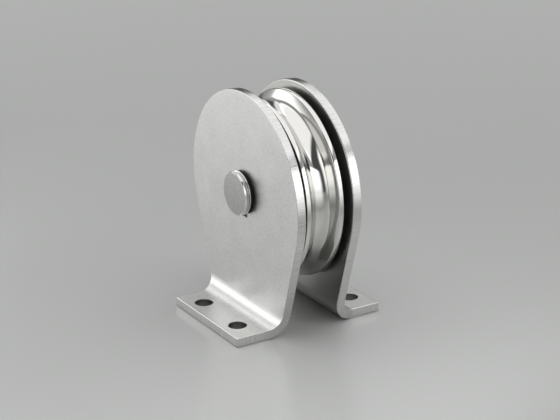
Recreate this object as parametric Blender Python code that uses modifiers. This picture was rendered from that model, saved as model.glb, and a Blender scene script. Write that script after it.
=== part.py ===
"""Fixed pulley: two bent side plates on outward feet, with a rope sheave on a ball bearing between them.

+Z is up, the axle lies along Y, the plates stand in planes of constant Y. The origin is on the mounting
surface, midway between the four feet holes. The front plate is at -Y, and the axle's head is in front of it.
"""

from math import acos, atan2, cos, hypot, pi, radians, sin, sqrt, tan

import bmesh
import bpy
import numpy as np
from mathutils import Matrix, Vector

MM = 0.001

# Sheave and rope groove
SHEAVE_DIAMETER = 100 * MM
SHEAVE_WIDTH = 22 * MM
GROOVE_RADIUS = 7 * MM
GROOVE_DEPTH = 7.5 * MM
GROOVE_FLANK_ANGLE = radians(30)
LAND_ROUND = 0.5 * MM
RIM_WALL = 6.5 * MM
WEB_THICKNESS = 9 * MM
HUB_MARGIN = 3.3 * MM
HUB_WALL = 6 * MM
HUB_CHAMFER = 1 * MM

# Side plates
PLATE_THICKNESS = 5 * MM
PLATE_GAP = 28 * MM
CROWN_MARGIN = 4 * MM
AXLE_HEIGHT = 70 * MM
FOOT_WIDTH = 66 * MM
FOOT_REACH = 24.5 * MM
BEND_RADIUS = 8 * MM
NEUTRAL_FIBRE = 0.4
EDGE_BREAK = 0.3 * MM
FOOT_HOLE_DIAMETER = 9.5 * MM
FOOT_HOLE_SPACING = 36 * MM
FOOT_HOLE_INSET = 9 * MM

# Axle, its key and what is threaded on it
AXLE_DIAMETER = 20 * MM
HEAD_OVERHANG = 1.8 * MM
HEAD_THICKNESS = 2.4 * MM
HEAD_CHAMFER = 0.7 * MM
SHANK_CHAMFER = 0.8 * MM
HEAD_WASHER_THICKNESS = 0.8 * MM
HEAD_SEAL_THICKNESS = 1.7 * MM
HEAD_SEAL_SETBACK = 0.3 * MM
REAR_WASHER_WALL = 4.7 * MM
REAR_WASHER_THICKNESS = 1.6 * MM
RING_GROOVE_DEPTH = 0.9 * MM
AXLE_RING_THICKNESS = 1.2 * MM
AXLE_RING_WIDTH = 3.4 * MM
AXLE_RING_OPENING = 11 * MM
AXLE_END = 2 * MM
KEY_WIDTH = 6 * MM
KEY_SEAT_DEPTH = 2.5 * MM
KEY_HEIGHT = 5.4 * MM
KEY_LENGTH = 3 * MM
COLLAR_WALL = 3.2 * MM

# Deep-groove ball bearing
BALL_DIAMETER = 7.94 * MM
BALL_COUNT = 8
INNER_RING_WALL = 2.23 * MM
OUTER_RING_WALL = 2.53 * MM
RACE_SHOULDER = 1.45 * MM
BALL_SIDE_ROOM = 3.03 * MM
CAGE_WALL = 2.4 * MM
CAGE_EDGE = 0.9 * MM
SHIELD_THICKNESS = 0.6 * MM
SHIELD_INSET = 0.5 * MM
BORE_RING_THICKNESS = 1.6 * MM
BORE_RING_WIDTH = 3.6 * MM
BORE_RING_SEAT = 1.2 * MM
BORE_RING_OPENING = 10 * MM
BEARING_SHOULDER = 2.6 * MM

# Clearances between neighbouring pieces
SEAT_GAP = 0.15 * MM
ROUND_GAP = 0.3 * MM
BALL_GAP = 0.25 * MM
SHIELD_GAP = 0.4 * MM

# Number of straight facets on round surfaces
PLATE_STEPS = 64
BEND_STEPS = 8
HOLE_STEPS = 24
SHEAVE_STEPS = 60
BEARING_STEPS = 36
SMALL_STEPS = 32
POCKET_STEPS = 14
BALL_STEPS = 12
BALL_ROWS = 8

# Points closer together than this are one point
MERGE = 0.001 * MM

# Sizes that follow from those above
PLATE_INNER = PLATE_GAP / 2
PLATE_OUTER = PLATE_INNER + PLATE_THICKNESS
CROWN_RADIUS = SHEAVE_DIAMETER / 2 + CROWN_MARGIN
AXLE_RADIUS = AXLE_DIAMETER / 2
AXLE_HOLE_RADIUS = AXLE_RADIUS + ROUND_GAP
NOTCH_WIDTH = KEY_WIDTH + 2 * ROUND_GAP
KEY_TIP = AXLE_RADIUS - KEY_SEAT_DEPTH + KEY_HEIGHT
NOTCH_BOTTOM = KEY_TIP + ROUND_GAP
HEAD_RADIUS = AXLE_RADIUS + HEAD_OVERHANG
BALL_RADIUS = BALL_DIAMETER / 2
RACE_RADIUS = BALL_RADIUS + BALL_GAP
BEARING_HALF = BALL_RADIUS + BALL_SIDE_ROOM
PITCH_RADIUS = AXLE_HOLE_RADIUS + INNER_RING_WALL + RACE_RADIUS
BEARING_RADIUS = PITCH_RADIUS + RACE_RADIUS + OUTER_RING_WALL
SHEAVE_BORE = BEARING_RADIUS + ROUND_GAP
HUB_HALF = BEARING_HALF + HUB_MARGIN
GROOVE_ROOT = SHEAVE_DIAMETER / 2 - GROOVE_DEPTH
INNER_LAND = PITCH_RADIUS - RACE_RADIUS + RACE_SHOULDER
OUTER_LAND = PITCH_RADIUS + RACE_RADIUS - RACE_SHOULDER
AXIS_POINT = Vector((0, 0, AXLE_HEIGHT))


def clear_scene():
    for thing in list(bpy.data.objects):
        bpy.data.objects.remove(thing, do_unlink=True)


def make_collection(name):
    collection = bpy.data.collections.new(name)
    bpy.context.scene.collection.children.link(collection)
    return collection


def make_material(name, colour, roughness, metallic):
    material = bpy.data.materials.new(name)
    material.use_nodes = True
    shader = material.node_tree.nodes["Principled BSDF"]
    shader.inputs["Base Color"].default_value = (*colour, 1)
    shader.inputs["Roughness"].default_value = roughness
    shader.inputs["Metallic"].default_value = metallic
    material.diffuse_color = (*colour, 1)
    return material


def add_object(name, mesh, collection, material=None):
    thing = bpy.data.objects.new(name, mesh)
    collection.objects.link(thing)
    if material:
        mesh.materials.clear()
        mesh.materials.append(material)
    return thing


def shade_round(mesh, angle=35):
    mesh.shade_smooth()
    mesh.set_sharp_from_angle(angle=radians(angle))


def turned(name, profile, material, steps, closed_loop=False):
    """A turned piece. Its profile is a list of (radius, distance in front of the mid-plane).

    The profile runs down the outer side. Local Z is the axle's direction towards its head, world -Y. A ring's
    profile is a closed loop, and a solid piece's profile starts and ends on the axis.
    """
    bm = bmesh.new()
    points = [bm.verts.new((radius, 0, along)) for radius, along in profile]
    for first, second in zip(points, points[1:]):
        bm.edges.new((first, second))
    if closed_loop:
        bm.edges.new((points[-1], points[0]))
    mesh = bpy.data.meshes.new(name)
    bm.to_mesh(mesh)
    bm.free()
    piece = add_object(name, mesh, parts, material)
    piece.location = AXIS_POINT
    piece.rotation_euler = (pi / 2, 0, 0)
    screw = piece.modifiers.new("turn", "SCREW")
    screw.steps = steps
    screw.render_steps = steps
    screw.use_merge_vertices = True
    screw.merge_threshold = MERGE
    screw.use_smooth_shade = True
    return piece


def tube(name, inner, outer, front, rear, material, steps=SMALL_STEPS):
    """A plain ring or sleeve between two distances in front of the mid-plane."""
    profile = [(inner, front), (outer, front), (outer, rear), (inner, rear)]
    return turned(name, profile, material, steps, closed_loop=True)


def arc(centre, radius, start, end, steps):
    """Points of a circular arc in the plane of a profile; angles in radians, 0 along the first axis."""
    angles = np.linspace(start, end, steps + 1)
    return [(centre[0] + radius * cos(a), centre[1] + radius * sin(a)) for a in angles]


def cut(piece, cutter):
    """Takes the cutter's shape out of the piece."""
    cutter.hide_render = True
    cutter.display_type = "WIRE"
    boolean = piece.modifiers.new("cut " + cutter.name, "BOOLEAN")
    boolean.operation = "DIFFERENCE"
    boolean.solver = "EXACT"
    boolean.object = cutter


def block(name, size, place, collection, material=None):
    """A box of the given size, centred at a point."""
    bm = bmesh.new()
    bmesh.ops.create_cube(bm, size=1)
    bmesh.ops.scale(bm, vec=size, verts=bm.verts)
    mesh = bpy.data.meshes.new(name)
    bm.to_mesh(mesh)
    bm.free()
    thing = add_object(name, mesh, collection, material)
    thing.location = place
    return thing


# Side plates: a flat blank with all its holes, then one bend

def bend_line():
    """Height of the line on the blank where the bend begins."""
    return PLATE_THICKNESS + BEND_RADIUS


def bend_length():
    """Length of blank that the quarter bend takes up, along the neutral fibre."""
    return (BEND_RADIUS + NEUTRAL_FIBRE * PLATE_THICKNESS) * pi / 2


def foot_end():
    """Height of the foot's outer edge on the blank."""
    return bend_line() - bend_length() - (FOOT_REACH - BEND_RADIUS)


def blank_outline():
    """Foot rectangle, straight tapers that touch the crown, and the round crown about the axle."""
    half = FOOT_WIDTH / 2
    shoulder = bend_line() - bend_length()
    drop = shoulder - AXLE_HEIGHT
    touch = atan2(drop, half) + acos(CROWN_RADIUS / hypot(half, drop))
    crown = arc((0, AXLE_HEIGHT), CROWN_RADIUS, touch, pi - touch, PLATE_STEPS)
    return [(half, foot_end()), (half, shoulder), *crown, (-half, shoulder), (-half, foot_end())]


def keyed_hole_outline():
    """The axle's hole with a square-cornered notch for the key at its bottom."""
    half = NOTCH_WIDTH / 2
    mouth = atan2(-sqrt(AXLE_HOLE_RADIUS**2 - half**2), half)
    hole = arc((0, AXLE_HEIGHT), AXLE_HOLE_RADIUS, mouth, pi - mouth, SMALL_STEPS)
    bottom = AXLE_HEIGHT - NOTCH_BOTTOM
    return [*hole, (-half, bottom), (half, bottom)]


def foot_hole_outline(side):
    """A bolt hole in the foot; side is -1 for the left one and 1 for the right one."""
    centre = (side * FOOT_HOLE_SPACING / 2, foot_end() + FOOT_HOLE_INSET)
    return arc(centre, FOOT_HOLE_DIAMETER / 2, 0, 2 * pi, HOLE_STEPS)[:-1]


def flat_blank():
    """The blank as a filled 2-D outline with its holes, as thick as the plate, with broken edges."""
    curve = bpy.data.curves.new("plate blank", "CURVE")
    curve.dimensions = "2D"
    curve.fill_mode = "BOTH"
    curve.extrude = PLATE_THICKNESS / 2 - EDGE_BREAK
    curve.bevel_depth = EDGE_BREAK
    curve.bevel_resolution = 0
    curve.offset = -EDGE_BREAK
    for outline in (blank_outline(), keyed_hole_outline(), foot_hole_outline(-1), foot_hole_outline(1)):
        spline = curve.splines.new("POLY")
        spline.points.add(len(outline) - 1)
        for point, (x, z) in zip(spline.points, outline):
            point.co = (x, z, 0, 1)
        spline.use_cyclic_u = True
    sketch = bpy.data.objects.new("plate blank", curve)
    bpy.context.scene.collection.objects.link(sketch)
    evaluated = sketch.evaluated_get(bpy.context.evaluated_depsgraph_get())
    mesh = bpy.data.meshes.new_from_object(evaluated)
    bpy.data.objects.remove(sketch, do_unlink=True)
    bpy.data.curves.remove(curve)
    return mesh


def bend(points):
    """Carries blank points (x, height on the blank, distance from the inside of the bend) round the bend."""
    x, height, depth = points.T
    neutral = BEND_RADIUS + NEUTRAL_FIBRE * PLATE_THICKNESS
    below = bend_line() - height
    angle = np.clip(below / neutral, 0, pi / 2)
    past = np.maximum(0, below - bend_length())
    radius = BEND_RADIUS + depth
    y = -PLATE_OUTER - BEND_RADIUS + radius * np.cos(angle) - past
    z = np.where(below <= 0, height, bend_line() - radius * np.sin(angle))
    return np.column_stack([x, y, z])


def side_plate_mesh():
    mesh = flat_blank()
    bm = bmesh.new()
    bm.from_mesh(mesh)
    bmesh.ops.remove_doubles(bm, verts=bm.verts, dist=MERGE)
    for fraction in np.linspace(0, 1, BEND_STEPS + 1):
        height = bend_line() - fraction * bend_length()
        geometry = bm.verts[:] + bm.edges[:] + bm.faces[:]
        bmesh.ops.bisect_plane(bm, geom=geometry, dist=MERGE, plane_co=(0, height, 0), plane_no=(0, 1, 0))
    blank = np.array([vertex.co for vertex in bm.verts])
    blank[:, 2] = PLATE_THICKNESS / 2 - blank[:, 2]
    for vertex, place in zip(bm.verts, bend(blank)):
        vertex.co = place
    bmesh.ops.recalc_face_normals(bm, faces=bm.faces)
    bm.to_mesh(mesh)
    bm.free()
    mesh.name = "side plate"
    shade_round(mesh, 20)
    return mesh


def build_side_plates():
    """Two identical plates, back to back, with their feet pointing outwards."""
    mesh = side_plate_mesh()
    steel = make_material("blasted stainless plate", (0.62, 0.62, 0.61), 0.42, 1)
    add_object("front_side_plate", mesh, parts, steel)
    rear = add_object("rear_side_plate", mesh, parts, steel)
    rear.rotation_euler = (0, 0, pi)


# Sheave

def groove_profile():
    """From the front land to the rear land: a round bottom that runs out into two straight flanks."""
    root = GROOVE_ROOT
    rim = SHEAVE_DIAMETER / 2
    flank_start = root + GROOVE_RADIUS * (1 - sin(GROOVE_FLANK_ANGLE))
    half_bottom = GROOVE_RADIUS * cos(GROOVE_FLANK_ANGLE)
    half_mouth = half_bottom + (rim - flank_start) * tan(GROOVE_FLANK_ANGLE)
    spread = pi / 2 - GROOVE_FLANK_ANGLE
    bottom = [
        (root + GROOVE_RADIUS * (1 - cos(a)), GROOVE_RADIUS * sin(a))
        for a in np.linspace(spread, -spread, 9)
    ]
    lip = LAND_ROUND
    slope = (sin(GROOVE_FLANK_ANGLE), cos(GROOVE_FLANK_ANGLE))
    front_lip = [(rim, half_mouth + lip), (rim - lip * slope[1], half_mouth - lip * slope[0])]
    rear_lip = [(radius, -along) for radius, along in reversed(front_lip)]
    return front_lip + bottom + rear_lip


def bore_profile():
    """From the hub's rear face to its front face: the ring's groove, the bearing's seat and its shoulder."""
    bore = SHEAVE_BORE
    half = HUB_HALF
    ring_front = -BEARING_HALF - SEAT_GAP / 2
    ring_rear = ring_front - BORE_RING_THICKNESS - SEAT_GAP
    seat = bore + BORE_RING_SEAT + ROUND_GAP
    step = bore - BEARING_SHOULDER
    return [
        (bore + HUB_CHAMFER / 2, -half), (bore, -half + HUB_CHAMFER / 2),
        (bore, ring_rear), (seat, ring_rear), (seat, ring_front), (bore, ring_front),
        (bore, BEARING_HALF + SEAT_GAP), (step, BEARING_HALF + SEAT_GAP), (step, half),
    ]


def build_sheave():
    rim = SHEAVE_DIAMETER / 2
    half = SHEAVE_WIDTH / 2
    hub = SHEAVE_BORE + HUB_WALL
    inner_rim = GROOVE_ROOT - RIM_WALL
    web = WEB_THICKNESS / 2
    front_side = [
        (hub - HUB_CHAMFER, HUB_HALF), (hub, HUB_HALF - HUB_CHAMFER), (hub + HUB_CHAMFER, web),
        (inner_rim - HUB_CHAMFER, web), (inner_rim, half),
        (rim - LAND_ROUND, half), (rim, half - LAND_ROUND),
    ]
    rear_side = [(radius, -along) for radius, along in reversed(front_side)]
    profile = front_side + groove_profile() + rear_side + bore_profile()
    polished = make_material("polished stainless sheave", (0.72, 0.71, 0.69), 0.08, 1)
    turned("sheave", profile, polished, SHEAVE_STEPS, closed_loop=True)


# Axle, key and the pieces threaded on it

def head_rear():
    """Distance of the head's underside in front of the mid-plane."""
    return PLATE_OUTER + HEAD_SEAL_THICKNESS + HEAD_WASHER_THICKNESS + 3 * SEAT_GAP


def axle_ring_front():
    """Distance of the retaining ring's front face from the mid-plane, behind the rear washer."""
    return -(PLATE_OUTER + REAR_WASHER_THICKNESS + 2 * SEAT_GAP)


def build_axle():
    head = HEAD_RADIUS
    shank = AXLE_RADIUS
    top = head_rear() + HEAD_THICKNESS
    groove_front = axle_ring_front() + SEAT_GAP
    groove_rear = axle_ring_front() - AXLE_RING_THICKNESS - SEAT_GAP
    end = groove_rear - AXLE_END
    neck = shank - RING_GROOVE_DEPTH
    profile = [
        (0, top), (head - HEAD_CHAMFER, top), (head, top - HEAD_CHAMFER), (head, head_rear()),
        (shank, head_rear()), (shank, groove_front), (neck, groove_front), (neck, groove_rear),
        (shank, groove_rear), (shank, end + SHANK_CHAMFER), (shank - SHANK_CHAMFER, end), (0, end),
    ]
    polished = make_material("turned stainless axle", (0.60, 0.60, 0.59), 0.2, 1)
    axle = turned("axle", profile, polished, BEARING_STEPS)
    key_steel = make_material("key steel", (0.5, 0.5, 0.5), 0.35, 1)
    key_middle = PLATE_INNER + SEAT_GAP + KEY_LENGTH / 2
    key_foot = AXLE_RADIUS - KEY_SEAT_DEPTH
    place = AXIS_POINT + Vector((0, -key_middle, -key_foot - KEY_HEIGHT / 2))
    block("axle_key", (KEY_WIDTH, KEY_LENGTH, KEY_HEIGHT), place, parts, key_steel)
    slot = (KEY_WIDTH + 2 * SEAT_GAP, KEY_LENGTH + 2 * SEAT_GAP, KEY_HEIGHT + 2 * SEAT_GAP)
    cut(axle, block("key slot cutter", slot, place, cutters))


def open_ring(name, inner, outer, front, thickness, opening, material):
    """A retaining ring: a flat ring with a gap of the given width at its bottom."""
    ring = tube(name, inner, outer, front, front - thickness, material)
    middle = AXIS_POINT + Vector((0, -front + thickness / 2, -(inner + outer) / 2))
    size = (opening, 3 * thickness, 2 * (outer - inner))
    cut(ring, block(name + " gap cutter", size, middle, cutters))


def build_axle_fittings():
    bore = AXLE_HOLE_RADIUS
    steel = make_material("bright washer steel", (0.66, 0.66, 0.65), 0.16, 1)
    rubber = make_material("black seal rubber", (0.012, 0.012, 0.011), 0.5, 0)
    spring = make_material("spring steel", (0.45, 0.45, 0.44), 0.3, 1)
    seal_front = PLATE_OUTER + SEAT_GAP + HEAD_SEAL_THICKNESS
    tube("head_seal", bore, HEAD_RADIUS - HEAD_SEAL_SETBACK, seal_front, PLATE_OUTER + SEAT_GAP, rubber)
    washer_rear = seal_front + SEAT_GAP
    washer_front = washer_rear + HEAD_WASHER_THICKNESS
    tube("head_washer", bore, HEAD_RADIUS, washer_front, washer_rear, steel)
    rear_front = -PLATE_OUTER - SEAT_GAP
    rear_back = rear_front - REAR_WASHER_THICKNESS
    tube("rear_washer", bore, bore + REAR_WASHER_WALL, rear_front, rear_back, steel)
    ring_inner = AXLE_RADIUS - RING_GROOVE_DEPTH + ROUND_GAP
    open_ring("axle_retaining_ring", ring_inner, ring_inner + AXLE_RING_WIDTH, axle_ring_front(),
              AXLE_RING_THICKNESS, AXLE_RING_OPENING, spring)
    collar_front = PLATE_INNER - SEAT_GAP
    collar_rear = BEARING_HALF + SEAT_GAP
    collar = (bore, bore + COLLAR_WALL)
    tube("front_spacer_collar", *collar, collar_front, collar_rear, steel)
    tube("rear_spacer_collar", *collar, -collar_rear, -collar_front, steel)


# Ball bearing

def race_profile(land, sign):
    """Points across a ring's running side, front to rear, with the ball track in its middle.

    The track is an arc about the pitch circle; sign is -1 for the inner ring and 1 for the outer ring.
    """
    reach = acos((land - PITCH_RADIUS) * sign / RACE_RADIUS)
    track = [
        (PITCH_RADIUS + sign * RACE_RADIUS * cos(a), RACE_RADIUS * sin(a))
        for a in np.linspace(reach, -reach, 7)
    ]
    return [(land, BEARING_HALF), *track, (land, -BEARING_HALF)]


def build_bearing_rings():
    steel = make_material("bearing steel", (0.58, 0.58, 0.58), 0.12, 1)
    bore = AXLE_HOLE_RADIUS
    inner = race_profile(INNER_LAND, -1) + [(bore, -BEARING_HALF), (bore, BEARING_HALF)]
    turned("bearing_inner_ring", inner, steel, BEARING_STEPS, closed_loop=True)
    track = list(reversed(race_profile(OUTER_LAND, 1)))
    outer = [(BEARING_RADIUS, BEARING_HALF), (BEARING_RADIUS, -BEARING_HALF)] + track
    turned("bearing_outer_ring", outer, steel, BEARING_STEPS, closed_loop=True)


def build_shields():
    plate = make_material("shield plate", (0.5, 0.5, 0.5), 0.3, 1)
    inner = INNER_LAND + SHIELD_GAP
    outer = OUTER_LAND - ROUND_GAP
    front = BEARING_HALF - SHIELD_INSET
    rear = front - SHIELD_THICKNESS
    tube("front_bearing_shield", inner, outer, front, rear, plate, BEARING_STEPS)
    tube("rear_bearing_shield", inner, outer, -rear, -front, plate, BEARING_STEPS)


def ball_angle(index):
    return 2 * pi * (index + 0.5) / BALL_COUNT


def around_axle(radius, angle):
    """A point in the mid-plane at a radius and angle about the axle."""
    return AXIS_POINT + Vector((radius * sin(angle), 0, radius * cos(angle)))


def build_cage_and_balls():
    sheet = make_material("cage steel", (0.48, 0.47, 0.44), 0.3, 1)
    steel = make_material("ball steel", (0.62, 0.62, 0.62), 0.05, 1)
    pocket = BALL_RADIUS + BALL_GAP
    half = pocket + CAGE_EDGE
    cage = tube("bearing_cage", PITCH_RADIUS - CAGE_WALL / 2, PITCH_RADIUS + CAGE_WALL / 2, half, -half, sheet,
                BEARING_STEPS)
    bm = bmesh.new()
    for index in range(BALL_COUNT):
        angle = ball_angle(index)
        turn = Matrix.Rotation(angle, 4, "Y")
        place = Matrix.Translation(around_axle(PITCH_RADIUS, angle))
        bmesh.ops.create_cone(bm, cap_ends=True, segments=POCKET_STEPS, radius1=pocket, radius2=pocket,
                              depth=3 * CAGE_WALL, matrix=place @ turn)
    pockets = bpy.data.meshes.new("ball pockets cutter")
    bm.to_mesh(pockets)
    bm.free()
    cut(cage, add_object("ball pockets cutter", pockets, cutters))
    bm = bmesh.new()
    bmesh.ops.create_uvsphere(bm, u_segments=BALL_STEPS, v_segments=BALL_ROWS, radius=BALL_RADIUS)
    ball = bpy.data.meshes.new("bearing ball")
    bm.to_mesh(ball)
    bm.free()
    ball.shade_smooth()
    for index in range(BALL_COUNT):
        piece = add_object(f"bearing_ball_{index + 1}", ball, parts, steel)
        piece.location = around_axle(PITCH_RADIUS, ball_angle(index))


def build_bore_ring():
    spring = make_material("bore ring steel", (0.45, 0.45, 0.44), 0.3, 1)
    outer = SHEAVE_BORE + BORE_RING_SEAT
    front = -BEARING_HALF - SEAT_GAP
    open_ring("bore_retaining_ring", outer - BORE_RING_WIDTH, outer, front, BORE_RING_THICKNESS,
              BORE_RING_OPENING, spring)


clear_scene()
parts = make_collection("fixed pulley")
cutters = make_collection("cutters")
build_side_plates()
build_sheave()
build_axle()
build_axle_fittings()
build_bearing_rings()
build_shields()
build_cage_and_balls()
build_bore_ring()
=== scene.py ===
# %% [markdown]
# # A fixed pulley in stainless steel
#
# The object is a small bolt-down rope pulley. Two bent side plates stand on outward feet, and a polished
# sheave turns between them on a ball bearing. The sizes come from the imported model, so this script makes
# only the surfaces that the eye sees: smooth turned forms, rounded arrises, blasted faces and dressed edges.
#
# Every surface here is a grid of points that depends on two parameters, worked out with numpy as whole
# arrays. That keeps each shape a formula that can be read, and makes it easy to raise or lower its detail.

# %% Load the frame
from math import acos, atan2, cos, hypot, pi, radians, sin, tan

import bmesh
import bpy
import numpy as np
from mathutils import Matrix, Vector


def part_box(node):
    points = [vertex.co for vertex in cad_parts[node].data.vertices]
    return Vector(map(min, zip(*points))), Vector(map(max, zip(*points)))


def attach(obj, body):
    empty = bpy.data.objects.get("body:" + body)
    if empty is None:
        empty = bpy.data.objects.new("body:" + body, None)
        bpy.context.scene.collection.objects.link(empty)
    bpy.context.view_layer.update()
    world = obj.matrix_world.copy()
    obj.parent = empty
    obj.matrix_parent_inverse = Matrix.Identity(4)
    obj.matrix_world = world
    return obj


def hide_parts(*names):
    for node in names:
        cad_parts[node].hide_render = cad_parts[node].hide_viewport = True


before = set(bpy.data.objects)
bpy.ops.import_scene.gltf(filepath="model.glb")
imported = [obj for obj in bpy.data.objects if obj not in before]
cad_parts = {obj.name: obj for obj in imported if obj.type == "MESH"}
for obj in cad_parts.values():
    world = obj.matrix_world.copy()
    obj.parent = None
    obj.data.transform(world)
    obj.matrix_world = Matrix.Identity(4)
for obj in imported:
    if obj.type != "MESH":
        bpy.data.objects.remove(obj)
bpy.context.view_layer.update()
MM = 0.001

# %% [markdown]
# ## Sizes
#
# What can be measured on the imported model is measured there, so that the fine surfaces always lie on the
# solids that carry them. Only sizes that a box can't show, such as a bend's radius, are written out.

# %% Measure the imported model
plate_low, plate_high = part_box("front_side_plate")
sheave_low, sheave_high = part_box("sheave")

AXLE_HEIGHT = (sheave_low.z + sheave_high.z) / 2
SHEAVE_RADIUS = (sheave_high.z - sheave_low.z) / 2
SHEAVE_HALF = (sheave_high.y - sheave_low.y) / 2
PLATE_INNER = -plate_high.y
PLATE_FOOT_END = -plate_low.y
CROWN_RADIUS = (plate_high.x - plate_low.x) / 2
print("axle height", round(AXLE_HEIGHT / MM, 2), "crown radius", round(CROWN_RADIUS / MM, 2))

# %% Sizes that a box can't show
PLATE_THICKNESS = 5 * MM
BEND_RADIUS = 8 * MM
NEUTRAL_FIBRE = 0.4
FOOT_WIDTH = 66 * MM
FOOT_HOLE_RADIUS = 4.75 * MM
FOOT_HOLE_SPACING = 36 * MM
FOOT_HOLE_INSET = 9 * MM
ARRIS = 0.3 * MM
BACK_ARRIS = 0.55 * MM
AXLE_HOLE_RADIUS = 10.3 * MM
NOTCH_HALF = 3.3 * MM
NOTCH_DEPTH = 13.2 * MM

PLATE_OUTER = PLATE_INNER + PLATE_THICKNESS
NEUTRAL_RADIUS = BEND_RADIUS + NEUTRAL_FIBRE * PLATE_THICKNESS
BEND_LINE = PLATE_THICKNESS + BEND_RADIUS
SHOULDER = BEND_LINE - NEUTRAL_RADIUS * pi / 2
FOOT_END = SHOULDER - (PLATE_FOOT_END - PLATE_OUTER - BEND_RADIUS)
print("blank from", round(FOOT_END / MM, 2), "mm, with its bend line at", round(BEND_LINE / MM, 2), "mm")

# %% [markdown]
# ## Camera
#
# A long lens about a metre away looks down a little on the pulley, from the right of its front plate. The
# view was found by matching the outlines of plates, feet and holes to those in the photograph. The camera is
# placed by a compass angle, a height angle and a distance from the point that it looks at.

# %% Place the camera
CAMERA_AIM = Vector((2.97, 1.27, 56.8)) * MM
CAMERA_AZIMUTH = radians(59.18)
CAMERA_ELEVATION = radians(20.08)
CAMERA_ROLL = radians(-0.97)
CAMERA_DISTANCE = 936.8 * MM
FOCAL_LENGTH = 114.63
SENSOR_WIDTH = 36


def direction(azimuth, elevation):
    """Unit vector away from the object: (sin a cos e, -cos a cos e, sin e) at azimuth a and elevation e."""
    return Vector((sin(azimuth) * cos(elevation), -cos(azimuth) * cos(elevation), sin(elevation)))


lens_data = bpy.data.cameras.new("camera")
lens_data.lens = FOCAL_LENGTH
lens_data.sensor_width = SENSOR_WIDTH
lens_data.clip_start = 0.01
lens_data.clip_end = 50
camera = bpy.data.objects.new("camera", lens_data)
bpy.context.scene.collection.objects.link(camera)
back = direction(CAMERA_AZIMUTH, CAMERA_ELEVATION)
camera.location = CAMERA_AIM + back * CAMERA_DISTANCE
level = back.to_track_quat("Z", "Y").to_matrix().to_4x4()
camera.rotation_euler = (level @ Matrix.Rotation(CAMERA_ROLL, 4, "Z")).to_euler()
bpy.context.scene.camera = camera
print("camera at", [round(v, 3) for v in camera.location])

# %% [markdown]
# ## Helpers for surfaces
#
# A sheet is a grid of points with a second grid that gives each point its place in a pattern (its UV). A
# piece is made of one or more sheets. Points that two sheets share become one, so the result is closed, and
# its faces are then turned to point outwards.


# %% Sheets of points
def sheet(points, pattern=None, finish=0):
    """One grid of points (rows, columns, 3), its UV grid in metres and the number of its material.

    Only a finish that follows the surface needs the UV grid; without one, it is all zeros.
    """
    points = np.asarray(points, float)
    if pattern is None:
        pattern = np.zeros(points.shape[:2] + (2,))
    return points, pattern, finish


def grid_faces(rows, columns):
    """Corner numbers of every quad in a grid whose points are numbered row by row."""
    corner = np.arange(rows - 1)[:, None] * columns + np.arange(columns - 1)[None, :]
    return np.stack([corner, corner + 1, corner + columns + 1, corner + columns], axis=-1).reshape(-1, 4)


# %% From sheets to a piece
MERGE_DISTANCE = 0.0005 * MM
SMOOTH_ANGLE = 32


def piece_from(name, sheets, materials, smooth_angle=SMOOTH_ANGLE):
    """A closed mesh from several sheets, smooth where its faces meet at less than an angle in degrees."""
    places, faces, patterns, finishes, start = [], [], [], [], 0
    for points, pattern, finish in sheets:
        rows, columns = points.shape[:2]
        quads = grid_faces(rows, columns)
        places.append(points.reshape(-1, 3))
        patterns.append(pattern.reshape(-1, 2)[quads.ravel()])
        faces.append(quads + start)
        finishes.append(np.full(len(quads), finish))
        start += rows * columns
    mesh = bpy.data.meshes.new(name)
    mesh.from_pydata(np.concatenate(places).tolist(), [], np.concatenate(faces).tolist())
    mesh.uv_layers.new(name="pattern").data.foreach_set("uv", np.concatenate(patterns).ravel())
    mesh.polygons.foreach_set("material_index", np.concatenate(finishes))
    bm = bmesh.new()
    bm.from_mesh(mesh)
    bmesh.ops.remove_doubles(bm, verts=bm.verts, dist=MERGE_DISTANCE)
    bmesh.ops.recalc_face_normals(bm, faces=bm.faces)
    open_edges = sum(1 for edge in bm.edges if not edge.is_manifold)
    bm.to_mesh(mesh)
    bm.free()
    mesh.shade_smooth()
    mesh.set_sharp_from_angle(angle=radians(smooth_angle))
    for material in materials:
        mesh.materials.append(material)
    piece = bpy.data.objects.new(name, mesh)
    bpy.context.scene.collection.objects.link(piece)
    print(name, len(mesh.polygons), "faces,", open_edges, "open edges")
    return piece


# %% [markdown]
# ## Helpers for materials
#
# All metal here is a Principled shader with Metallic at 1. What tells a blasted face from a polished one is
# its roughness and the tiny relief on it, so each finish is built from a few noise patterns. They are read
# on Object coordinates, which are metres on the piece itself and stay put when it turns, or on its UV map.


# %% Node helpers
def new_finish(name, colour, roughness, metallic=1.0):
    """A material with one Principled shader; returns it, its node tree and the shader."""
    material = bpy.data.materials.new(name)
    material.use_nodes = True
    tree = material.node_tree
    shader = tree.nodes["Principled BSDF"]
    shader.inputs["Base Color"].default_value = (*colour, 1)
    shader.inputs["Roughness"].default_value = roughness
    shader.inputs["Metallic"].default_value = metallic
    return material, tree, shader


def node(tree, kind, inputs=None, **settings):
    """A node with its settings; each input is set to a value or linked from another node's output."""
    made = tree.nodes.new("ShaderNode" + kind)
    for key, value in settings.items():
        setattr(made, key, value)
    for key, value in (inputs or {}).items():
        if isinstance(value, bpy.types.NodeSocket):
            tree.links.new(value, made.inputs[key])
        else:
            made.inputs[key].default_value = value
    return made


def remap(tree, value, low, high, from_low=0.0, from_high=1.0):
    """Carries a pattern's value from one range to another, held at both ends."""
    inputs = {"Value": value, "From Min": from_low, "From Max": from_high, "To Min": low, "To Max": high}
    return node(tree, "MapRange", inputs).outputs["Result"]


NOISE_ROUGHNESS = 0.55


def noise(tree, place, grain, detail=2):
    """Noise whose blobs are about as large as the grain, in metres."""
    inputs = {"Vector": place, "Scale": 1 / grain, "Detail": detail, "Roughness": NOISE_ROUGHNESS}
    return node(tree, "TexNoise", inputs).outputs["Fac"]


MIX_SHARE, MIX_FIRST_COLOUR, MIX_SECOND_COLOUR, MIXED_COLOUR = 0, 6, 7, 2


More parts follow.
